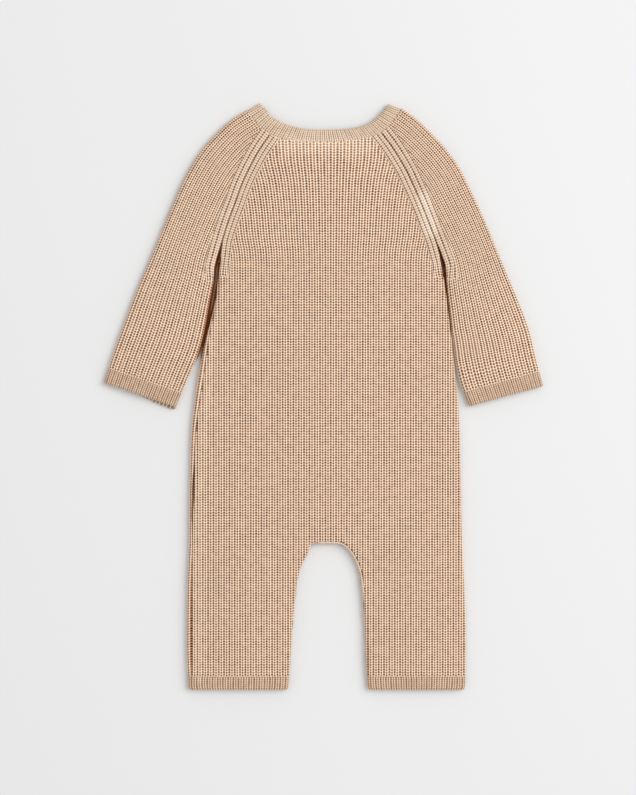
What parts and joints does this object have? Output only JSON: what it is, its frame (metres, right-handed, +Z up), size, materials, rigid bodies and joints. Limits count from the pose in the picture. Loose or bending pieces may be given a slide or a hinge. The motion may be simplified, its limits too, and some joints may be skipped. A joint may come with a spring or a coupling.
{
  "type": "baby romper",
  "caption": "Long-sleeved baby romper in chunky ribbed knit with raglan sleeves, a ribbed neckband and narrow ribbed cuffs, laid flat on its front with its back upwards.",
  "frame": {"origin": "on the surface that the garment lies on, under the middle of its outline", "axes": "+Y from the leg hems to the neck, +X to the wearer's right as seen from the back, +Z up out of the back"},
  "size_m": [0.396, 0.5292, 0.0088],
  "materials": {
    "chunky_rib": "chunky 1x1 half-cardigan rib in a warm beige cotton yarn, matt and slightly fuzzy",
    "fine_rib": "fine 1x1 rib in the same yarn, matt"
  },
  "bodies": {
    "root": {"back_panel": "chunky_rib", "front_panel": "chunky_rib", "sleeve_left": "chunky_rib", "sleeve_right": "chunky_rib", "cuff_left": "fine_rib", "cuff_right": "fine_rib", "neckband": "fine_rib", "leg_hem_left": "fine_rib", "leg_hem_right": "fine_rib"}
  },
  "joints": []
}
